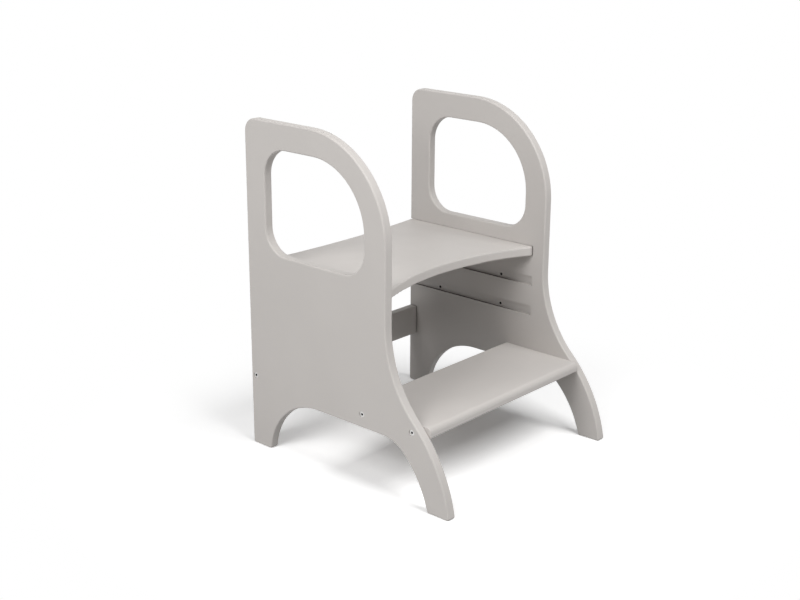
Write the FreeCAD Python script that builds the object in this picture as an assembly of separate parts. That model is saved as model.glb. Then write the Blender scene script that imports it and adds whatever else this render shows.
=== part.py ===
import FreeCAD, Part
import math
import os

# Toddler's kitchen step stool in lacquered fibreboard.
#
# Two side panels, mirror images of each other, stand on four feet and carry a lower
# step, a rear rail and a platform.  The step and the rail are screwed on from outside.
# The platform sits in one of three pairs of grooves and is drawn against the panels by
# four small cam fittings in its underside, which are turned with a screwdriver.
#
# Frame: millimetres, +Z up, +X to the stool's right, front towards -Y.  The origin is
# on the floor, at the middle of the stool's width and depth.  A "depth" below is
# measured forwards from the rear edge of the side panels, and a "height" from the floor.

# ---------------------------------------------------------------- side panels
PANEL_HEIGHT = 558.0
PANEL_DEPTH = 433.5             # rear edge to the tip of the front foot
PANEL_THICKNESS = 16.0
CLEAR_WIDTH = 383.0             # between the two inner faces
UPPER_DEPTH = 303.5             # depth of the upright part above the legs
TOP_REAR_RADIUS = 22.0
TOP_FRONT_RADIUS = 160.0
NECK_RADIUS = 192.0             # hollow sweep from the upright part into the leg
LEG_RADIUS = 247.0              # outer sweep of the front leg
LEG_CENTRE_DROP = 40.0          # its centre lies this far below the floor
REAR_FOOT_LENGTH = 43.5
FRONT_FOOT_LENGTH = 44.0
FOOT_CORNER_RADIUS = 4.0
ARCH_HEIGHT = 101.0             # arch between the feet
ARCH_REAR_RADIUS = 112.0
ARCH_SHOULDER_RADIUS = 65.0
ARCH_LEG_RADIUS = 180.0         # inner sweep of the front leg
ARCH_LEG_CENTRE_DROP = 46.0
EDGE_ROUNDING = 2.5             # all long edges of the boards

# ------------------------------------------------------- handle window in a panel
HANDLE_SIDE_BORDER = 44.0       # wood left behind and in front of the window
HANDLE_TOP_BORDER = 42.5        # wood left above it
HANDLE_SILL_HEIGHT = 343.0
HANDLE_REAR_ROUNDNESS = 0.267   # corner radii, as shares of the window's shorter side
HANDLE_SILL_ROUNDNESS = 0.249
HANDLE_FRONT_ROUNDNESS = 0.626

# ------------------------------------------------------------ platform and grooves
PLATFORM_TOP_HEIGHT = 317.0     # in the top pair of grooves
PLATFORM_THICKNESS = 16.0
PLATFORM_REAR_SETBACK = 1.0
PLATFORM_REAR_RADIUS = 1600.0   # the rear edge is hollowed slightly
PLATFORM_FRONT_RADIUS = 422.0   # the front edge is hollowed deeply
PLATFORM_CORNER_RADIUS = 8.0
PLATFORM_FRONT_GAP = 0.6        # rounded corner to the closed front end of its groove
PLATFORM_END_GAP = 0.5          # to the bottom of each groove
LEVEL_COUNT = 3
LEVEL_PITCH = 54.0
GROOVE_DEPTH = 5.0
GROOVE_PLAY = 0.5               # groove height over the platform's thickness
GROOVE_FRONT_MARGIN = 23.5      # groove end to the panel's upright front edge

# ---------------------------------------------------------- lower step, rear rail
STEP_TOP_HEIGHT = 131.0
STEP_THICKNESS = 16.0
STEP_DEPTH = 154.0
STEP_TOE_SETBACK = 50.5         # its front edge to the tip of the front foot
STEP_SCREW_INSET = 25.0         # from its front and rear edges
STEP_END_ROUNDING = 0.6         # on the ends that meet the panels
STEP_NOSE_RADIUS = 9.0          # its upper front edge, rounder than the others
RAIL_THICKNESS = 16.0
RAIL_HEIGHT = 54.0
RAIL_MIDDLE_HEIGHT = 124.0
RAIL_SETBACK = 2.0
RAIL_END_ROUNDING = 2.4         # leaves a shadow line at the panels

# -------------------------------------------------- one-piece connecting screws
SCREW_LENGTH = 50.0
SCREW_DIAMETER = 7.0            # of the shoulder and over the thread
SCREW_CORE_DIAMETER = 5.0
SCREW_SHOULDER_LENGTH = 13.0    # below the head's face
SCREW_THREAD_PITCH = 3.0
SCREW_TIP_LENGTH = 4.0
SCREW_HEAD_DIAMETER = 10.0
SCREW_HEAD_RIM = 0.6            # straight edge above the head's 45 degree cone
SCREW_HEAD_SUNK = 1.2           # head's face below the panel's face
SOCKET_SIDES = 6
SOCKET_ACROSS_FLATS = 4.0
SOCKET_DEPTH = 3.0
SCREW_SEAT_GAP = 0.05           # between the cone and its countersink
SHOULDER_CLEARANCE = 0.2        # radial, in the panel
THREAD_CLEARANCE = 0.1          # radial, in the board's end
HOLE_END_CLEARANCE = 1.0        # beyond a screw or a dowel, in a board's end
BLIND_END_CLEARANCE = 0.5       # beyond a bolt or a dowel, in a panel
THREAD_FLANK = 0.4              # share of the pitch that each flank of a thread takes

# --------------------------------------- dowels that stop the rail from turning
DOWEL_DIAMETER = 6.0
DOWEL_LENGTH = 25.0
DOWEL_IN_PANEL = 9.0
DOWEL_OFFSET = 16.0             # above and below the rail's screw
DOWEL_CHAMFER = 0.8
DOWEL_CLEARANCE = 0.05          # radial

# ---------------------------------------------------- cam fittings of the platform
FITTING_SPACING = 140.0         # front fitting to rear fitting
FITTING_AXIS_HEIGHT = 5.5       # bolt axis above the platform's underside
PANEL_HOLE_DIAMETER = 5.0
CAM_DIAMETER = 12.0
CAM_HEIGHT = 9.3
CAM_RECESS = 0.2                # cam's face above the platform's underside
CAM_CLEARANCE = 0.1             # around the cam and above it
CAM_SETBACK = 24.0              # cam's axis to the platform's end
CAM_TRAVEL = 195.0              # degrees, locked to open
CAM_CHAMBER_RADIUS = 4.0
CAM_CHAMBER_OFFSET = 0.8        # the chamber is eccentric, which pulls the bolt in
CAM_SLOT_CLEARANCE = 0.2        # around the bolt's neck and head
CAM_CROSS_SPAN = 5.4
CAM_CROSS_WIDTH = 1.2
CAM_CROSS_DEPTH = 1.8
CAM_POINTER_LENGTH = 1.5         # arrow beside the cross that shows where the slot is
CAM_POINTER_DEPTH = 0.3
BOLT_DIAMETER = 4.8
BOLT_NECK_DIAMETER = 3.0
BOLT_HEAD_DIAMETER = 4.6
BOLT_HEAD_BACK = 3.05           # cam's axis to the back of the head's cone
BOLT_HEAD_FRONT = 0.6           # cam's axis to the head's free end
BOLT_NECK_END = 6.6             # cam's axis to the start of the shank
BOLT_BORE_CLEARANCE = 0.4       # radial, in the platform's end
BOLT_IN_PANEL = 7.5
BOLT_THREAD_PITCH = 1.5
BOLT_THREAD_DEPTH = 0.5

# -------------------------------------------------------------- derived places
INNER_FACE = CLEAR_WIDTH / 2
OUTER_FACE = INNER_FACE + PANEL_THICKNESS
GROOVE_FLOOR = INNER_FACE + GROOVE_DEPTH
GROOVE_LENGTH = UPPER_DEPTH - GROOVE_FRONT_MARGIN
GROOVE_HEIGHT = PLATFORM_THICKNESS + GROOVE_PLAY
PLATFORM_UNDERSIDE = PLATFORM_TOP_HEIGHT - PLATFORM_THICKNESS
PLATFORM_END = GROOVE_FLOOR - PLATFORM_END_GAP
PLATFORM_TIP_DEPTH = GROOVE_LENGTH - PLATFORM_FRONT_GAP
LEVEL_HEIGHTS = [PLATFORM_UNDERSIDE - LEVEL_PITCH * level for level in range(LEVEL_COUNT)]
FITTING_DEPTHS = {
    "rear": (GROOVE_LENGTH - FITTING_SPACING) / 2,
    "front": (GROOVE_LENGTH + FITTING_SPACING) / 2,
}
CAM_AXIS_X = PLATFORM_END - CAM_SETBACK
CAM_RADIUS = CAM_DIAMETER / 2 - CAM_CLEARANCE
BOLT_REACH = GROOVE_FLOOR - CAM_AXIS_X
STEP_FRONT_DEPTH = PANEL_DEPTH - STEP_TOE_SETBACK
STEP_MIDDLE_HEIGHT = STEP_TOP_HEIGHT - STEP_THICKNESS / 2
STEP_SCREW_DEPTHS = {
    "rear": STEP_FRONT_DEPTH - STEP_DEPTH + STEP_SCREW_INSET,
    "front": STEP_FRONT_DEPTH - STEP_SCREW_INSET,
}
RAIL_MIDDLE_DEPTH = RAIL_SETBACK + RAIL_THICKNESS / 2
SCREW_FACE_X = OUTER_FACE - SCREW_HEAD_SUNK
SCREW_TIP_X = SCREW_FACE_X - SCREW_LENGTH

QUARTER_TURN = 90.0             # degrees
HALF_TURN = 180.0
X_AXIS = FreeCAD.Vector(1, 0, 0)
Z_AXIS = FreeCAD.Vector(0, 0, 1)
ORIGIN = FreeCAD.Vector(0, 0, 0)
OVERCUT = 5.0                   # how far a cutting shape runs past an open face
PLANE_TOLERANCE = 1e-4


# ------------------------------------------------------------------- helpers
def frame_y(depth):
    """Y of a point that lies this far in front of the panels' rear edge."""
    return PANEL_DEPTH / 2 - depth


def point(x, depth, height):
    return FreeCAD.Vector(x, frame_y(depth), height)


def line(x, start, end):
    """Straight edge between two (depth, height) points of a side view."""
    return Part.makeLine(point(x, *start), point(x, *end))


def arc(x, centre, radius, start_angle, end_angle):
    """Arc in a side view; angles in degrees run from the front towards the top."""
    corners = []
    for angle in (start_angle, (start_angle + end_angle) / 2, end_angle):
        turn = math.radians(angle)
        corners.append(point(x, centre[0] + radius * math.cos(turn),
                             centre[1] + radius * math.sin(turn)))
    return Part.Arc(*corners).toShape()


def on_circle(centre, radius, angle):
    turn = math.radians(angle)
    return centre[0] + radius * math.cos(turn), centre[1] + radius * math.sin(turn)


def direction(start, end):
    """Angle in degrees of the line between two (depth, height) points."""
    return math.degrees(math.atan2(end[1] - start[1], end[0] - start[0]))


def extrude_outline(edges, thickness):
    face = Part.Face(Part.Wire(edges))
    return face.extrude(X_AXIS * thickness)


def edges_on_plane(shape, axis, value):
    """Edges that lie wholly in the plane where one coordinate has the given value."""
    found = []
    for edge in shape.Edges:
        box = edge.BoundBox
        low = getattr(box, axis + "Min")
        high = getattr(box, axis + "Max")
        if abs(low - value) < PLANE_TOLERANCE and abs(high - value) < PLANE_TOLERANCE:
            found.append(edge)
    return found


def box_between(x_low, x_high, depth_rear, depth_front, z_low, z_high):
    corner = FreeCAD.Vector(x_low, frame_y(depth_front), z_low)
    return Part.makeBox(x_high - x_low, depth_front - depth_rear, z_high - z_low, corner)


def rod(radius, x_start, x_end, depth, height):
    """Plain cylinder along X."""
    return Part.makeCylinder(radius, x_end - x_start, point(x_start, depth, height), X_AXIS)


def turned(profile):
    """Solid of revolution about the X axis, from (x, radius) points that start and end
    on the axis."""
    corners = [FreeCAD.Vector(x, 0, radius) for x, radius in profile]
    outline = Part.makePolygon(corners + [corners[0]])
    return Part.Face(outline).revolve(ORIGIN, X_AXIS, 2 * HALF_TURN)


def moved(shape, x, depth, height):
    copy = shape.copy()
    copy.translate(point(x, depth, height))
    return copy


def left_of(shape):
    """The left-hand counterpart of a right-hand shape."""
    return shape.mirror(ORIGIN, X_AXIS)


def thread(x_start, x_end, crest, core, pitch):
    """Profile points of a thread drawn as a row of ridges, from x_start to x_end."""
    step = math.copysign(pitch, x_end - x_start)
    count = int(abs(x_end - x_start) / pitch)
    points = []
    for turn in range(count):
        x = x_start + turn * step
        points += [(x, core), (x + step * THREAD_FLANK, crest),
                   (x + step * (1 - THREAD_FLANK), crest)]
    return points + [(x_end, core)]


# --------------------------------------------------------------- side panels
def panel_outline(x):
    """Outer outline of a side panel, before its foot corners are rounded.

    The rounded toe of the front foot is what reaches the full depth, so the leg's sweep
    is placed from it and the sharp toe lies a little further forward."""
    rounded_reach = math.sqrt((LEG_RADIUS - FOOT_CORNER_RADIUS) ** 2
                              - (LEG_CENTRE_DROP + FOOT_CORNER_RADIUS) ** 2)
    leg_centre = (PANEL_DEPTH - FOOT_CORNER_RADIUS - rounded_reach, -LEG_CENTRE_DROP)
    leg_reach = math.sqrt(LEG_RADIUS ** 2 - LEG_CENTRE_DROP ** 2)
    toe = (leg_centre[0] + leg_reach, 0.0)
    neck_depth = UPPER_DEPTH + NECK_RADIUS
    rise = math.sqrt((LEG_RADIUS + NECK_RADIUS) ** 2 - (neck_depth - leg_centre[0]) ** 2)
    neck_centre = (neck_depth, rise - LEG_CENTRE_DROP)
    leg_to_neck = direction(leg_centre, neck_centre)

    front_centre = (UPPER_DEPTH - TOP_FRONT_RADIUS, PANEL_HEIGHT - TOP_FRONT_RADIUS)
    rear_centre = (TOP_REAR_RADIUS, PANEL_HEIGHT - TOP_REAR_RADIUS)

    inner_reach = math.sqrt(ARCH_LEG_RADIUS ** 2 - ARCH_LEG_CENTRE_DROP ** 2)
    inner_toe = (toe[0] - FRONT_FOOT_LENGTH, 0.0)
    inner_centre = (inner_toe[0] - inner_reach, -ARCH_LEG_CENTRE_DROP)
    shoulder_height = ARCH_HEIGHT - ARCH_SHOULDER_RADIUS
    shoulder_run = math.sqrt((ARCH_LEG_RADIUS - ARCH_SHOULDER_RADIUS) ** 2
                             - (shoulder_height + ARCH_LEG_CENTRE_DROP) ** 2)
    shoulder_centre = (inner_centre[0] + shoulder_run, shoulder_height)
    inner_to_shoulder = direction(inner_centre, shoulder_centre)

    rear_drop = ARCH_REAR_RADIUS - ARCH_HEIGHT
    rear_run = math.sqrt(ARCH_REAR_RADIUS ** 2 - rear_drop ** 2)
    arch_centre = (REAR_FOOT_LENGTH + rear_run, -rear_drop)
    heel = (REAR_FOOT_LENGTH, 0.0)

    return [
        line(x, (0.0, 0.0), (0.0, rear_centre[1])),
        arc(x, rear_centre, TOP_REAR_RADIUS, HALF_TURN, QUARTER_TURN),
        line(x, (rear_centre[0], PANEL_HEIGHT), (front_centre[0], PANEL_HEIGHT)),
        arc(x, front_centre, TOP_FRONT_RADIUS, QUARTER_TURN, 0),
        line(x, (UPPER_DEPTH, front_centre[1]), (UPPER_DEPTH, neck_centre[1])),
        arc(x, neck_centre, NECK_RADIUS, HALF_TURN, HALF_TURN + leg_to_neck),
        arc(x, leg_centre, LEG_RADIUS, leg_to_neck, direction(leg_centre, toe)),
        line(x, toe, inner_toe),
        arc(x, inner_centre, ARCH_LEG_RADIUS, direction(inner_centre, inner_toe),
            inner_to_shoulder),
        arc(x, shoulder_centre, ARCH_SHOULDER_RADIUS, inner_to_shoulder, QUARTER_TURN),
        line(x, (shoulder_centre[0], ARCH_HEIGHT), (arch_centre[0], ARCH_HEIGHT)),
        arc(x, arch_centre, ARCH_REAR_RADIUS, QUARTER_TURN, direction(arch_centre, heel)),
        line(x, heel, (0.0, 0.0)),
    ]


def handle_outline(x):
    rear = HANDLE_SIDE_BORDER
    front = UPPER_DEPTH - HANDLE_SIDE_BORDER
    top = PANEL_HEIGHT - HANDLE_TOP_BORDER
    sill = HANDLE_SILL_HEIGHT
    shorter_side = min(top - sill, front - rear)
    rear_radius = HANDLE_REAR_ROUNDNESS * shorter_side
    sill_radius = HANDLE_SILL_ROUNDNESS * shorter_side
    front_radius = HANDLE_FRONT_ROUNDNESS * shorter_side
    corners = [
        ((rear + rear_radius, top - rear_radius), rear_radius, HALF_TURN),
        ((front - front_radius, top - front_radius), front_radius, QUARTER_TURN),
        ((front - sill_radius, sill + sill_radius), sill_radius, 0),
        ((rear + sill_radius, sill + sill_radius), sill_radius, -QUARTER_TURN),
    ]
    edges = []
    for number, (centre, radius, start) in enumerate(corners):
        edges.append(arc(x, centre, radius, start, start - QUARTER_TURN))
        next_centre, next_radius, next_start = corners[(number + 1) % len(corners)]
        edges.append(line(x, on_circle(centre, radius, start - QUARTER_TURN),
                          on_circle(next_centre, next_radius, next_start)))
    return edges


def screw_hole(depth, height):
    """Countersunk hole through the right-hand panel, with a straight wall above the
    screw's head."""
    head_radius = SCREW_HEAD_DIAMETER / 2 + SCREW_SEAT_GAP
    hole_radius = SCREW_DIAMETER / 2 + SHOULDER_CLEARANCE
    cone_top = SCREW_FACE_X - SCREW_HEAD_RIM
    profile = [
        (INNER_FACE - OVERCUT, 0.0),
        (INNER_FACE - OVERCUT, hole_radius),
        (cone_top - (head_radius - hole_radius), hole_radius),
        (cone_top, head_radius),
        (OUTER_FACE + OVERCUT, head_radius),
        (OUTER_FACE + OVERCUT, 0.0),
    ]
    return moved(turned(profile), 0.0, depth, height)


def groove(underside):
    return box_between(INNER_FACE - OVERCUT, GROOVE_FLOOR, -OVERCUT, GROOVE_LENGTH,
                       underside, underside + GROOVE_HEIGHT)


def side_panel():
    """The right-hand panel, with its grooves and holes."""
    panel = extrude_outline(panel_outline(INNER_FACE), PANEL_THICKNESS)
    panel = panel.makeFillet(FOOT_CORNER_RADIUS, [
        edge for edge in edges_on_plane(panel, "Z", 0.0)
        if edge.BoundBox.YLength < PLANE_TOLERANCE])
    panel = panel.cut(extrude_outline(handle_outline(INNER_FACE), PANEL_THICKNESS))
    rims = edges_on_plane(panel, "X", INNER_FACE) + edges_on_plane(panel, "X", OUTER_FACE)
    panel = panel.makeFillet(EDGE_ROUNDING, rims)

    cuts = []
    hole_radius = PANEL_HOLE_DIAMETER / 2
    hole_end = GROOVE_FLOOR + BOLT_IN_PANEL + BLIND_END_CLEARANCE
    for underside in LEVEL_HEIGHTS:
        cuts.append(groove(underside))
        for depth in FITTING_DEPTHS.values():
            cuts.append(rod(hole_radius, INNER_FACE, hole_end, depth,
                            underside + FITTING_AXIS_HEIGHT))
    for depth in STEP_SCREW_DEPTHS.values():
        cuts.append(screw_hole(depth, STEP_MIDDLE_HEIGHT))
    cuts.append(screw_hole(RAIL_MIDDLE_DEPTH, RAIL_MIDDLE_HEIGHT))
    for rise in (-DOWEL_OFFSET, DOWEL_OFFSET):
        cuts.append(rod(DOWEL_DIAMETER / 2 + DOWEL_CLEARANCE, INNER_FACE - OVERCUT,
                        INNER_FACE + DOWEL_IN_PANEL + BLIND_END_CLEARANCE,
                        RAIL_MIDDLE_DEPTH, RAIL_MIDDLE_HEIGHT + rise))
    return panel.cut(cuts)


# ------------------------------------------------------------------ platform
def platform_edge(depth_at_ends, radius):
    """Long edge of the platform, hollowed towards its middle by an arc.

    A positive radius bows the middle backwards, as at the front edge, and a negative
    one bows it forwards, as at the rear edge."""
    bow = math.copysign(abs(radius) - math.sqrt(radius ** 2 - PLATFORM_END ** 2), radius)
    ends = [point(side * PLATFORM_END, depth_at_ends, PLATFORM_UNDERSIDE) for side in (-1, 1)]
    middle = point(0.0, depth_at_ends - bow, PLATFORM_UNDERSIDE)
    return Part.Arc(ends[0], middle, ends[1]).toShape(), ends


def platform():
    # The front edge meets the ends at a sharp angle.  Its corners are rounded, so the
    # sharp corner lies further forward than the rounded tip.
    sharp_angle = math.acos(PLATFORM_END / PLATFORM_FRONT_RADIUS)
    tip_loss = PLATFORM_CORNER_RADIUS * (1 / math.tan(sharp_angle / 2) - 1)
    front, front_ends = platform_edge(PLATFORM_TIP_DEPTH + tip_loss, PLATFORM_FRONT_RADIUS)
    rear, rear_ends = platform_edge(PLATFORM_REAR_SETBACK, -PLATFORM_REAR_RADIUS)
    sides = [Part.makeLine(start, end) for start, end in zip(front_ends, rear_ends)]
    outline = Part.Wire(Part.__sortEdges__([front, rear] + sides))
    board = Part.Face(outline).extrude(Z_AXIS * PLATFORM_THICKNESS)
    corners = [edge for edge in board.Edges
               if edge.BoundBox.ZLength > PLATFORM_THICKNESS - PLANE_TOLERANCE]
    board = board.makeFillet(PLATFORM_CORNER_RADIUS, corners)
    rims = (edges_on_plane(board, "Z", PLATFORM_UNDERSIDE)
            + edges_on_plane(board, "Z", PLATFORM_TOP_HEIGHT))
    board = board.makeFillet(EDGE_ROUNDING, rims)

    cuts = []
    axis_height = PLATFORM_UNDERSIDE + FITTING_AXIS_HEIGHT
    pocket_top = PLATFORM_UNDERSIDE + CAM_RECESS + CAM_HEIGHT + CAM_CLEARANCE
    for depth in FITTING_DEPTHS.values():
        for side in (-1, 1):
            foot = point(side * CAM_AXIS_X, depth, PLATFORM_UNDERSIDE - OVERCUT)
            cuts.append(Part.makeCylinder(CAM_DIAMETER / 2,
                                          pocket_top - PLATFORM_UNDERSIDE + OVERCUT, foot))
            bore = rod(BOLT_DIAMETER / 2 + BOLT_BORE_CLEARANCE, CAM_AXIS_X,
                       PLATFORM_END + OVERCUT, depth, axis_height)
            cuts.append(bore if side > 0 else left_of(bore))
    return board.cut(cuts)


# ------------------------------------------------------ lower step, rear rail
def cross_board(depth_rear, depth_front, z_low, z_high, nose_radius, end_rounding, end_holes):
    """Board between the inner faces, with rounded edges and holes in both ends.

    The nose is the upper front edge.

    end_holes lists (radius, hole depth, depth, height) for the right-hand end."""
    board = box_between(-INNER_FACE, INNER_FACE, depth_rear, depth_front, z_low, z_high)

    def on_nose(edge):
        return (edge.BoundBox.ZMin > z_high - PLANE_TOLERANCE
                and edge.BoundBox.YMax < frame_y(depth_front) + PLANE_TOLERANCE)

    board = board.makeFillet(EDGE_ROUNDING, [
        edge for edge in board.Edges
        if edge.BoundBox.XLength > CLEAR_WIDTH - PLANE_TOLERANCE and not on_nose(edge)])
    board = board.makeFillet(nose_radius, [edge for edge in board.Edges if on_nose(edge)])
    ends = edges_on_plane(board, "X", INNER_FACE) + edges_on_plane(board, "X", -INNER_FACE)
    board = board.makeFillet(end_rounding, ends)
    cuts = []
    for radius, hole_depth, depth, height in end_holes:
        hole = rod(radius, INNER_FACE - hole_depth, INNER_FACE + OVERCUT, depth, height)
        cuts += [hole, left_of(hole)]
    return board.cut(cuts)


def screw_end_hole(depth, height):
    hole_depth = INNER_FACE - SCREW_TIP_X + HOLE_END_CLEARANCE
    return SCREW_DIAMETER / 2 + THREAD_CLEARANCE, hole_depth, depth, height


def lower_step():
    holes = [screw_end_hole(depth, STEP_MIDDLE_HEIGHT) for depth in STEP_SCREW_DEPTHS.values()]
    return cross_board(STEP_FRONT_DEPTH - STEP_DEPTH, STEP_FRONT_DEPTH,
                       STEP_TOP_HEIGHT - STEP_THICKNESS, STEP_TOP_HEIGHT,
                       STEP_NOSE_RADIUS, STEP_END_ROUNDING, holes)


def rear_rail():
    holes = [screw_end_hole(RAIL_MIDDLE_DEPTH, RAIL_MIDDLE_HEIGHT)]
    dowel_hole_depth = DOWEL_LENGTH - DOWEL_IN_PANEL + HOLE_END_CLEARANCE
    for rise in (-DOWEL_OFFSET, DOWEL_OFFSET):
        holes.append((DOWEL_DIAMETER / 2 + DOWEL_CLEARANCE, dowel_hole_depth,
                      RAIL_MIDDLE_DEPTH, RAIL_MIDDLE_HEIGHT + rise))
    return cross_board(RAIL_SETBACK, RAIL_SETBACK + RAIL_THICKNESS,
                       RAIL_MIDDLE_HEIGHT - RAIL_HEIGHT / 2,
                       RAIL_MIDDLE_HEIGHT + RAIL_HEIGHT / 2,
                       EDGE_ROUNDING, RAIL_END_ROUNDING, holes)


# ------------------------------------------------------------------ fasteners
def screw():
    """Countersunk connecting screw with a hexagon socket, in the right-hand panel."""
    radius = SCREW_DIAMETER / 2
    core = SCREW_CORE_DIAMETER / 2
    head = SCREW_HEAD_DIAMETER / 2
    cone_top = SCREW_FACE_X - SCREW_HEAD_RIM
    thread_start = SCREW_FACE_X - SCREW_SHOULDER_LENGTH
    thread_end = SCREW_TIP_X + SCREW_TIP_LENGTH
    profile = [
        (SCREW_FACE_X, 0.0),
        (SCREW_FACE_X, head),
        (cone_top, head),
        (cone_top - (head - radius), radius),
        (thread_start, radius),
    ]
    profile += thread(thread_start, thread_end, radius, core, SCREW_THREAD_PITCH)
    profile.append((SCREW_TIP_X, 0.0))
    body = turned(profile)
    reach = SOCKET_ACROSS_FLATS / 2 / math.cos(math.pi / SOCKET_SIDES)
    hexagon = []
    for corner in range(SOCKET_SIDES + 1):
        turn = 2 * math.pi * corner / SOCKET_SIDES
        hexagon.append(FreeCAD.Vector(SCREW_FACE_X, reach * math.cos(turn),
                                      reach * math.sin(turn)))
    socket = Part.Face(Part.makePolygon(hexagon)).extrude(X_AXIS * -SOCKET_DEPTH)
    return body.cut(socket)


def dowel():
    """Grooveless beech dowel between the right-hand panel and the rail."""
    x_low = INNER_FACE + DOWEL_IN_PANEL - DOWEL_LENGTH
    x_high = INNER_FACE + DOWEL_IN_PANEL
    radius = DOWEL_DIAMETER / 2
    return turned([
        (x_low, 0.0),
        (x_low, radius - DOWEL_CHAMFER),
        (x_low + DOWEL_CHAMFER, radius),
        (x_high - DOWEL_CHAMFER, radius),
        (x_high, radius - DOWEL_CHAMFER),
        (x_high, 0.0),
    ])


def cam_bolt():
    """Bolt of a cam fitting, on the X axis, with the cam's axis at the origin."""
    radius = BOLT_DIAMETER / 2
    neck = BOLT_NECK_DIAMETER / 2
    head = BOLT_HEAD_DIAMETER / 2
    tip = BOLT_REACH + BOLT_IN_PANEL
    profile = [
        (BOLT_HEAD_FRONT, 0.0),
        (BOLT_HEAD_FRONT, head),
        (BOLT_HEAD_BACK - (head - neck), head),
        (BOLT_HEAD_BACK, neck),
        (BOLT_NECK_END, neck),
        (BOLT_NECK_END, radius),
        (BOLT_REACH, radius),
    ]
    profile += thread(BOLT_REACH, tip, radius, radius - BOLT_THREAD_DEPTH, BOLT_THREAD_PITCH)
    profile.append((tip, 0.0))
    return turned(profile)


def cam():
    """Cam in its locked position, its axis on Z, its face on Z = 0, the bolt towards +X.

    The bolt's head sits in an eccentric chamber and its neck in a slot that runs round
    to the mouth, where the head can leave the chamber when the cam is open."""
    axis_height = FITTING_AXIS_HEIGHT - CAM_RECESS
    body = Part.makeCylinder(CAM_RADIUS, CAM_HEIGHT)
    chamber_height = BOLT_HEAD_DIAMETER + 2 * CAM_SLOT_CLEARANCE
    chamber = Part.makeCylinder(CAM_CHAMBER_RADIUS, chamber_height,
                                FreeCAD.Vector(-CAM_CHAMBER_OFFSET, 0,
                                               axis_height - chamber_height / 2))
    slot_height = BOLT_NECK_DIAMETER + 2 * CAM_SLOT_CLEARANCE
    slot = Part.makeCylinder(CAM_DIAMETER, slot_height,
                             FreeCAD.Vector(0, 0, axis_height - slot_height / 2),
                             Z_AXIS, CAM_TRAVEL)
    cuts = [chamber, slot]
    for angle, width in ((0.0, slot_height), (CAM_TRAVEL, slot_height),
                         (CAM_TRAVEL, chamber_height)):
        way = Part.makeBox(CAM_DIAMETER, width, width,
                           FreeCAD.Vector(0, -width / 2, axis_height - width / 2))
        way.rotate(ORIGIN, Z_AXIS, angle)
        cuts.append(way)
    for angle in (45.0, 135.0):
        bar = Part.makeBox(CAM_CROSS_SPAN, CAM_CROSS_WIDTH, CAM_CROSS_DEPTH,
                           FreeCAD.Vector(-CAM_CROSS_SPAN / 2, -CAM_CROSS_WIDTH / 2, 0))
        bar.rotate(ORIGIN, Z_AXIS, angle)
        cuts.append(bar)
    pointer_tip = FreeCAD.Vector(CAM_RADIUS - CAM_POINTER_DEPTH, 0, 0)
    pointer_base = pointer_tip.x - CAM_POINTER_LENGTH
    pointer = Part.Face(Part.makePolygon([
        pointer_tip,
        FreeCAD.Vector(pointer_base, CAM_CROSS_WIDTH / 2, 0),
        FreeCAD.Vector(pointer_base, -CAM_CROSS_WIDTH / 2, 0),
        pointer_tip,
    ])).extrude(Z_AXIS * CAM_POINTER_DEPTH)
    pointer.rotate(ORIGIN, Z_AXIS, CAM_TRAVEL)
    cuts.append(pointer)
    return body.cut(cuts)


# ------------------------------------------------------------------ assembly
def stool():
    """All pieces by name, each in its place."""
    right_panel = side_panel()
    pieces = {
        "right_side_panel": right_panel,
        "left_side_panel": left_of(right_panel),
        "platform": platform(),
        "lower_step": lower_step(),
        "rear_rail": rear_rail(),
    }

    def add_pair(name, right_shape):
        pieces[name + "_right"] = right_shape
        pieces[name + "_left"] = left_of(right_shape)

    for place, depth in STEP_SCREW_DEPTHS.items():
        add_pair("step_screw_" + place, moved(screw(), 0.0, depth, STEP_MIDDLE_HEIGHT))
    add_pair("rail_screw", moved(screw(), 0.0, RAIL_MIDDLE_DEPTH, RAIL_MIDDLE_HEIGHT))
    for place, rise in (("lower", -DOWEL_OFFSET), ("upper", DOWEL_OFFSET)):
        add_pair("rail_dowel_" + place,
                 moved(dowel(), 0.0, RAIL_MIDDLE_DEPTH, RAIL_MIDDLE_HEIGHT + rise))

    bolt_height = PLATFORM_UNDERSIDE + FITTING_AXIS_HEIGHT
    for place, depth in FITTING_DEPTHS.items():
        add_pair("cam_bolt_" + place, moved(cam_bolt(), CAM_AXIS_X, depth, bolt_height))
        for side, turn, x in (("right", 0, CAM_AXIS_X), ("left", HALF_TURN, -CAM_AXIS_X)):
            disc = cam()
            disc.rotate(ORIGIN, Z_AXIS, turn)
            pieces["cam_" + place + "_" + side] = moved(disc, x, depth,
                                                        PLATFORM_UNDERSIDE + CAM_RECESS)
    return pieces


os.makedirs("parts", exist_ok=True)
for name, shape in stool().items():
    shape.exportStep("parts/" + name + ".step")
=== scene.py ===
import math

import bpy
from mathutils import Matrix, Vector

# A child's kitchen stool in warm grey lacquered board, on a white studio floor.
# All lengths are metres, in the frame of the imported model: +Z up, front towards -Y.

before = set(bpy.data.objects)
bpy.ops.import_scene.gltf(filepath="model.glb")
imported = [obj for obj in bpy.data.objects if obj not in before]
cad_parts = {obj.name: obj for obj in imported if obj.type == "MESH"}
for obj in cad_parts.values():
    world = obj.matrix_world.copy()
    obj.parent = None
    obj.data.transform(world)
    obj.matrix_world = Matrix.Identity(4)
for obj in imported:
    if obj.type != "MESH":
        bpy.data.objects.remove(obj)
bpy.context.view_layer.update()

# ------------------------------------------------------------------ camera
CAMERA_PLACE = (-1.5879, -1.3562, 0.9376)
CAMERA_TURN = (71.826, -0.326, -47.963)      # degrees about X, Y and Z
SENSOR_WIDTH = 36.0                          # millimetres, as the lens
LENS = 59.73

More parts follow.
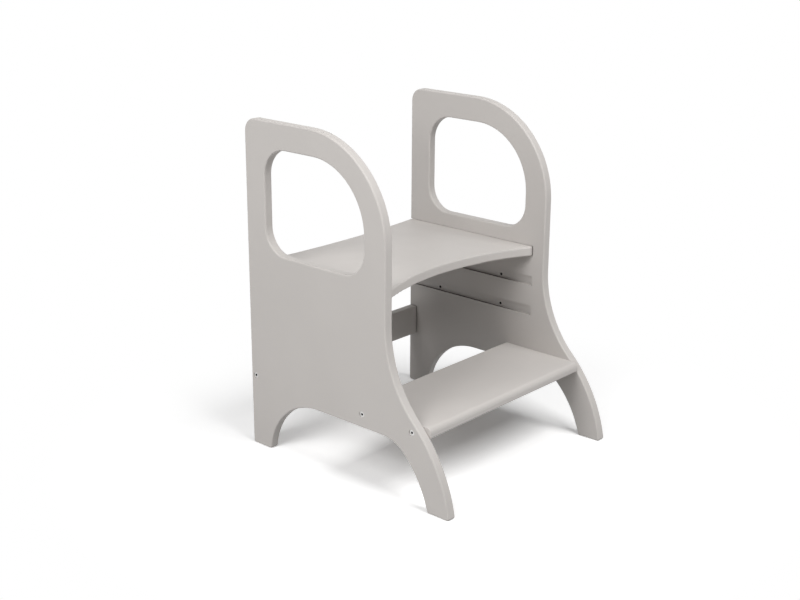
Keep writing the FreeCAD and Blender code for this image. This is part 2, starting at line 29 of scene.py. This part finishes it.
# ------------------------------------------------------------------ colours
LACQUER = (0.560, 0.532, 0.509)
LACQUER_ARRIS_SHADE = (0.515, 0.489, 0.467)         # painted shade on the arrises, darker to tone down their highlight
HOLE_SHADE = (0.020, 0.015, 0.011)           # painted shade, near black, in the blind holes of the grooves
LEDGE_SHADE = (0.140, 0.132, 0.124)           # painted shade on the lower ledges of the grooves, under the platform
JOINT_SHADE = (0.050, 0.046, 0.042)           # painted shade in the joints at the rear rail's ends
ZINC_PLATE = (0.66, 0.66, 0.65)
# painted shade in the hexagon sockets of the screws
SOCKET_SHADE = (0.035, 0.034, 0.032)
CAST_ZINC = (0.55, 0.56, 0.57)
BEECH_LIGHT = (0.66, 0.45, 0.26)
BEECH_DARK = (0.50, 0.31, 0.16)
WHITE = (1.0, 1.0, 1.0)

# ------------------------------------------------------------------ surface figures
# A noise's scale is in features per metre.  Three of them are along X, Y and Z.
NOISE_SPAN = (0.3, 0.7)                      # most of a noise's values lie in this span

# A board's facing is 1 on its faces and 0 on its edges.
EDGE_FACING = (0.35, 0.05)                   # the routed edges fade in from here to here
ARRIS_FACING_EDGE = (0.10, 0.45)             # the arrises fade in from the edge's side
ARRIS_FACING_FACE = (0.98, 0.72)             # and from the face's side
ARRIS_SHADE_SHARE = 0.6                             # share of the painted arris shade
BOARD_PATCHES = {"scale": 7.0, "detail": 3.0}
BOARD_PATCHES_TONE = (0.985, 1.015)
BOARD_GRIT = {"scale": 900.0, "roughness": 0.7}
BOARD_GRIT_SPAN = (0.25, 0.75)
BOARD_GRIT_TONE = (-0.012, 0.012)            # added to the patches' tone
BOARD_PEEL = {"scale": 420.0, "roughness": 0.55}
BOARD_FIBRES = {"scale": 260.0, "detail": 4.0, "roughness": 0.7}
BOARD_SHEEN = {"scale": 30.0, "detail": 4.0}
BOARD_ROUGHNESS = (0.47, 0.55)
EDGE_ROUGHER = 0.06                          # added on the routed edges
BOARD_SPECULAR = 0.38

ZINC_MOTTLE = {"scale": 600.0, "detail": 3.0}
ZINC_TONE = (0.9, 1.05)
ZINC_ROUGHNESS = (0.30, 0.42)
TURNING_MARKS = {"scale": (9000.0, 500.0, 500.0), "detail": 1.0}

CAST_GRAIN = {"scale": 1800.0, "detail": 3.0, "roughness": 0.7}
CAST_CLOUDS = {"scale": 250.0}
CAST_TONE = (0.88, 1.08)
CAST_ROUGHNESS = (0.38, 0.52)

BEECH_GRAIN = {"scale": (25.0, 900.0, 900.0), "detail": 5.0, "roughness": 0.6}
BEECH_GRAIN_SPAN = (0.35, 0.7)
BEECH_GRAIN_SHARE = 0.7                      # of the dark colour, at most
BEECH_RAYS = {"scale": (300.0, 2500.0, 2500.0), "detail": 1.0}
BEECH_RAYS_SPAN = (0.66, 0.72)
BEECH_RAYS_SHARE = 0.3
BEECH_ROUGHNESS = 0.6

FINE_BUMP = 0.00002                          # on the lacquer, its edges and the plated steel
CAST_BUMP = 0.00004
BEECH_BUMP = 0.00005

# ------------------------------------------------------------------ marked places
# The grooves' blind holes get painted shade, near black.  No other surface of a panel
# lies inside this box: past the groove's floor, and away from the panel's edges.
# The X values here and below count from the middle to both sides.
BLIND_HOLES_X = (0.19665, 0.2055)
BLIND_HOLES_Y = (-0.06, 0.19)
BLIND_HOLES_Z = (0.19, 0.32)

# The lower ledges of the grooves, in painted shade: the only faces in this box that look
# upwards.
LEDGES_X = (0.1910, 0.1970)
LEDGES_Y = (-0.064, 0.22)
LEDGES_Z = (0.19, 0.305)
LEDGES_LEAST_UPWARD = 0.7                    # Z of the surface's direction
LEDGES_SHADE_FADE_Y = (-0.055, 0.010)         # no painted shade in front of the first, full painted shade past the last

# The rear rail's rounded ends, where they meet the panels and get painted shade.
RAIL_JOINT_X = 0.1891

# The hexagon sockets of the connecting screws, in painted shade, by each pair's Y and Z.
SCREW_PLACES = {
    "step_screw_rear": (-0.03725, 0.123),
    "step_screw_front": (-0.14125, 0.123),
    "rail_screw": (0.20675, 0.124),
}
SOCKET_X = (0.2032, 0.20625)
SOCKET_REACH = 0.0024                        # from a screw's axis

# The axis that each board's faces look along.
BOARD_FACES = {
    "right_side_panel": "X",
    "left_side_panel": "X",
    "platform": "Z",
    "lower_step": "Z",
    "rear_rail": "Y",
}

# ------------------------------------------------------------------ studio figures
FLOOR_SEEN = 1.35                            # floor's brightness to the eye, clips to white
FLOOR_BOUNCE = 0.50                          # and for the light that it throws back
FLOOR_HALF = 3.0                             # from its middle to each side
FLOOR_FADE = (0.15, 0.65)                    # distances from the middle where it fades out
BACKGROUND_SEEN = 1.0                        # white to the eye
WORLD_LIGHT = 0.20                           # what the room gives from all round
LAMPS = {                                    # place, side length, power
    "front_box": ((0.0, -1.5, 2.3), 1.4, 47.0),
    "left_box": ((-2.3, 0.1, 1.4), 1.2, 24.0),
    "left_upper_box": ((-1.7, -0.1, 1.9), 1.0, 12.0),
}
LAMPS_AIM = (0.0, 0.0, 0.25)


# ------------------------------------------------------------------ node helpers
# Sockets of a Mix node that mixes colours, whose names stand for other kinds as well.
MIX_SHARE, MIX_FIRST, MIX_SECOND, MIX_RESULT = 0, 6, 7, 2


class Shading:
    """Builds the node tree of a new material or world.  Its calls return output sockets,
    apart from node, which returns the node, and finish, which returns what it dressed."""

    def __init__(self, holder, output_kind="ShaderNodeOutputMaterial"):
        self.holder = holder
        self.holder.use_nodes = True
        self.tree = self.holder.node_tree
        self.tree.nodes.clear()
        self.output = self.tree.nodes.new(output_kind)

    def node(self, kind, settings=None, **inputs):
        made = self.tree.nodes.new(kind)
        for key, value in (settings or {}).items():
            setattr(made, key, value)
        for key, value in inputs.items():
            self.put(made.inputs[key.replace("_", " ")], value)
        return made

    def put(self, socket, value):
        if isinstance(value, bpy.types.NodeSocket):
            self.tree.links.new(value, socket)
        elif hasattr(value, "__len__") and len(value) == 3 and socket.type == "RGBA":
            socket.default_value = (*value, 1.0)
        else:
            socket.default_value = value

    def math(self, operation, *values):
        made = self.node("ShaderNodeMath", {"operation": operation})
        for socket, value in zip(made.inputs, values):
            self.put(socket, value)
        return made.outputs[0]

    def place(self):
        """Position on the piece, in metres of the frame."""
        return self.node("ShaderNodeTexCoord").outputs["Object"]

    def normal(self):
        """The surface's direction in the frame, by axis."""
        return self.split(self.node("ShaderNodeTexCoord").outputs["Normal"])

    def split(self, vector):
        return self.node("ShaderNodeSeparateXYZ", Vector=vector).outputs

    def facing(self, axis):
        """1 where the surface faces along the axis, 0 where it runs along it."""
        return self.math("ABSOLUTE", self.normal()[axis])

    def within(self, coordinate, low, high):
        """1 where a coordinate lies between two values, else 0."""
        above = self.math("GREATER_THAN", coordinate, low)
        return self.math("MULTIPLY", above, self.math("LESS_THAN", coordinate, high))

    def all_of(self, *masks):
        found = masks[0]
        for mask in masks[1:]:
            found = self.math("MULTIPLY", found, mask)
        return found

    def noise(self, scale, detail=2.0, roughness=0.5):
        place = self.place()
        if isinstance(scale, tuple):
            place = self.node("ShaderNodeMapping", Vector=place, Scale=scale).outputs[0]
            scale = 1.0
        made = self.node("ShaderNodeTexNoise", Vector=place, Scale=scale, Detail=detail,
                         Roughness=roughness)
        return made.outputs["Fac"]

    def ramp(self, value, span, result=(0.0, 1.0)):
        """Goes smoothly from result's first to its last as value crosses the span."""
        made = self.node("ShaderNodeMapRange", {"interpolation_type": "SMOOTHSTEP"},
                         Value=value, From_Min=span[0], From_Max=span[1],
                         To_Min=result[0], To_Max=result[1])
        return made.outputs["Result"]

    def seen(self, unseen_level, seen_level):
        """One level for what the eye sees, also in metal or through glass, and another
        for the light on the surfaces."""
        made = self.node("ShaderNodeMapRange", Value=self.seen_share(), To_Min=unseen_level,
                         To_Max=seen_level)
        return made.outputs["Result"]

    def seen_share(self):
        """1 for what the eye sees, also in metal or through glass, else 0."""
        path = self.node("ShaderNodeLightPath").outputs
        share = self.math("MAXIMUM", path["Is Camera Ray"], path["Is Glossy Ray"])
        return self.math("MAXIMUM", share, path["Is Transmission Ray"])

    def mix(self, share, first, second):
        made = self.node("ShaderNodeMix", {"data_type": "RGBA"})
        self.put(made.inputs[MIX_SHARE], share)
        self.put(made.inputs[MIX_FIRST], first)
        self.put(made.inputs[MIX_SECOND], second)
        return made.outputs[MIX_RESULT]

    def scaled_colour(self, colour, factor):
        return self.node("ShaderNodeHueSaturation", Color=colour, Value=factor).outputs[0]

    def bump(self, height, depth, **under):
        return self.node("ShaderNodeBump", Height=height, Distance=depth, **under).outputs[0]

    def finish(self, shader):
        self.tree.links.new(shader, self.output.inputs["Surface"])
        return self.holder


def new_material(name):
    return Shading(bpy.data.materials.new(name))


# ------------------------------------------------------------------ masks
def blind_hole_mask(s):
    x, y, z = s.split(s.place())
    return s.all_of(s.within(s.math("ABSOLUTE", x), *BLIND_HOLES_X),
                    s.within(y, *BLIND_HOLES_Y), s.within(z, *BLIND_HOLES_Z))


def ledge_mask(s):
    x, y, z = s.split(s.place())
    return s.all_of(s.within(s.math("ABSOLUTE", x), *LEDGES_X), s.within(y, *LEDGES_Y),
                    s.within(z, *LEDGES_Z),
                    s.math("GREATER_THAN", s.normal()["Z"], LEDGES_LEAST_UPWARD),
                    s.ramp(y, LEDGES_SHADE_FADE_Y))


def rail_joint_mask(s):
    x = s.split(s.place())["X"]
    return s.math("GREATER_THAN", s.math("ABSOLUTE", x), RAIL_JOINT_X)


def socket_mask(s, centre):
    x, y, z = s.split(s.place())
    across = s.math("SUBTRACT", y, centre[0])
    up = s.math("SUBTRACT", z, centre[1])
    squares = s.math("ADD", s.math("MULTIPLY", across, across), s.math("MULTIPLY", up, up))
    return s.all_of(s.within(s.math("ABSOLUTE", x), *SOCKET_X),
                    s.math("LESS_THAN", squares, SOCKET_REACH ** 2))


# ------------------------------------------------------------------ materials
def lacquered_board(face_axis):
    """Matt sprayed lacquer on fibreboard: a fine orange peel on the faces, a coarser,
    fibrous surface on the routed edges, and painted shade on the arrises against their
    highlight."""
    s = new_material("lacquered_board_facing_" + face_axis.lower())
    facing = s.facing(face_axis)
    edge = s.ramp(facing, EDGE_FACING)
    arris = s.math("MULTIPLY", s.ramp(facing, ARRIS_FACING_EDGE),
                   s.ramp(facing, ARRIS_FACING_FACE))

    tone = s.math("ADD", s.ramp(s.noise(**BOARD_PATCHES), NOISE_SPAN, BOARD_PATCHES_TONE),
                  s.ramp(s.noise(**BOARD_GRIT), BOARD_GRIT_SPAN, BOARD_GRIT_TONE))
    # the arrises get painted shade that tones down their highlight
    colour = s.mix(s.math("MULTIPLY", arris, ARRIS_SHADE_SHARE), LACQUER, LACQUER_ARRIS_SHADE)
    colour = s.scaled_colour(colour, tone)
    if face_axis == BOARD_FACES["right_side_panel"]:
        # painted shade on the grooves' lower ledges
        colour = s.mix(ledge_mask(s), colour, LEDGE_SHADE)
        # painted shade, near black, in the blind holes
        colour = s.mix(blind_hole_mask(s), colour, HOLE_SHADE)
    if face_axis == BOARD_FACES["rear_rail"]:
        # painted shade in the joints at the rail's ends
        colour = s.mix(rail_joint_mask(s), colour, JOINT_SHADE)

    fibres = s.math("MULTIPLY", s.noise(**BOARD_FIBRES), edge)
    skin = s.bump(fibres, FINE_BUMP, Normal=s.bump(s.noise(**BOARD_PEEL), FINE_BUMP))
    roughness = s.math("ADD", s.ramp(s.noise(**BOARD_SHEEN), NOISE_SPAN, BOARD_ROUGHNESS),
                       s.math("MULTIPLY", edge, EDGE_ROUGHER))
    shader = s.node("ShaderNodeBsdfPrincipled", Base_Color=colour, Roughness=roughness,
                    Normal=skin, Specular_IOR_Level=BOARD_SPECULAR)
    return s.finish(shader.outputs[0])


def zinc_plated_steel(name, socket_centre=None):
    """Bright zinc plating with faint turning marks along the fastener, and painted shade
    in the hexagon socket of a screw."""
    s = new_material(name)
    mottle = s.noise(**ZINC_MOTTLE)
    colour = s.scaled_colour(ZINC_PLATE, s.ramp(mottle, NOISE_SPAN, ZINC_TONE))
    if socket_centre is not None:
        # painted shade in the hexagon socket
        colour = s.mix(socket_mask(s, socket_centre), colour, SOCKET_SHADE)
    shader = s.node("ShaderNodeBsdfPrincipled", Base_Color=colour, Metallic=1.0,
                    Roughness=s.ramp(mottle, NOISE_SPAN, ZINC_ROUGHNESS),
                    Normal=s.bump(s.noise(**TURNING_MARKS), FINE_BUMP))
    return s.finish(shader.outputs[0])


def die_cast_zinc():
    """Dull cast metal with a fine granular skin."""
    s = new_material("die_cast_zinc")
    clouds = s.noise(**CAST_CLOUDS)
    colour = s.scaled_colour(CAST_ZINC, s.ramp(clouds, NOISE_SPAN, CAST_TONE))
    shader = s.node("ShaderNodeBsdfPrincipled", Base_Color=colour, Metallic=1.0,
                    Roughness=s.ramp(clouds, NOISE_SPAN, CAST_ROUGHNESS),
                    Normal=s.bump(s.noise(**CAST_GRAIN), CAST_BUMP))
    return s.finish(shader.outputs[0])


def beech():
    """Turned beech: long straight grain along X with short dark rays."""
    s = new_material("beech")
    grain = s.noise(**BEECH_GRAIN)
    share = s.math("ADD", s.ramp(grain, BEECH_GRAIN_SPAN, (0.0, BEECH_GRAIN_SHARE)),
                   s.ramp(s.noise(**BEECH_RAYS), BEECH_RAYS_SPAN, (0.0, BEECH_RAYS_SHARE)))
    shader = s.node("ShaderNodeBsdfPrincipled", Base_Color=s.mix(share, BEECH_LIGHT, BEECH_DARK),
                    Roughness=BEECH_ROUGHNESS, Normal=s.bump(grain, BEECH_BUMP))
    return s.finish(shader.outputs[0])


def dress(names, material):
    for name in names:
        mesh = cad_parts[name].data
        mesh.materials.clear()
        mesh.materials.append(material)


def dress_everything():
    for axis in sorted(set(BOARD_FACES.values())):
        dress([name for name in BOARD_FACES if BOARD_FACES[name] == axis], lacquered_board(axis))
    for stem, centre in SCREW_PLACES.items():
        dress([stem + "_right", stem + "_left"], zinc_plated_steel("plated_" + stem, centre))
    bolts = [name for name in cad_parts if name.startswith("cam_bolt_")]
    cams = [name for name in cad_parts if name.startswith("cam_") and name not in bolts]
    dress(bolts, zinc_plated_steel("plated_bolt"))
    dress([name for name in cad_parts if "dowel" in name], beech())
    dress(cams, die_cast_zinc())


# ------------------------------------------------------------------ studio
def floor_material():
    """White floor that keeps the shadows and fades into the white background."""
    s = new_material("studio_floor")
    lit = s.node("ShaderNodeBsdfDiffuse", Color=s.seen(FLOOR_BOUNCE, FLOOR_SEEN))
    white = s.node("ShaderNodeEmission", Color=WHITE, Strength=BACKGROUND_SEEN)
    distance = s.node("ShaderNodeVectorMath", {"operation": "LENGTH"}, Vector=s.place())
    fade = s.ramp(distance.outputs["Value"], FLOOR_FADE)
    mixed = s.node("ShaderNodeMixShader")
    for socket, value in zip(mixed.inputs, (s.math("MULTIPLY", fade, s.seen_share()),
                                            lit.outputs[0], white.outputs[0])):
        s.put(socket, value)
    return s.finish(mixed.outputs[0])


def make_floor():
    mesh = bpy.data.meshes.new("floor")
    corners = [(x * FLOOR_HALF, y * FLOOR_HALF, 0.0)
               for x, y in ((-1, -1), (1, -1), (1, 1), (-1, 1))]
    mesh.from_pydata(corners, [], [(0, 1, 2, 3)])
    floor = bpy.data.objects.new("floor", mesh)
    bpy.context.scene.collection.objects.link(floor)
    mesh.materials.append(floor_material())


def make_world():
    """White to the eye and in reflections, and a plain soft light on the surfaces."""
    s = Shading(bpy.data.worlds.new("studio"), "ShaderNodeOutputWorld")
    background = s.node("ShaderNodeBackground", Color=WHITE,
                        Strength=s.seen(WORLD_LIGHT, BACKGROUND_SEEN))
    bpy.context.scene.world = s.finish(background.outputs[0])


def make_lights():
    for name, (place, side, power) in LAMPS.items():
        data = bpy.data.lights.new(name, "AREA")
        data.shape = "SQUARE"
        data.size = side
        data.energy = power
        lamp = bpy.data.objects.new(name, data)
        lamp.location = place
        aim = Vector(LAMPS_AIM) - Vector(place)
        lamp.rotation_euler = aim.to_track_quat("-Z", "Y").to_euler()
        bpy.context.scene.collection.objects.link(lamp)


def make_camera():
    data = bpy.data.cameras.new("camera")
    data.sensor_fit = "HORIZONTAL"
    data.sensor_width = SENSOR_WIDTH
    data.lens = LENS
    camera = bpy.data.objects.new("camera", data)
    camera.location = CAMERA_PLACE
    camera.rotation_euler = [math.radians(angle) for angle in CAMERA_TURN]
    bpy.context.scene.collection.objects.link(camera)
    bpy.context.scene.camera = camera


dress_everything()
make_floor()
make_world()
make_lights()
make_camera()
bpy.context.scene.view_settings.view_transform = "Standard"
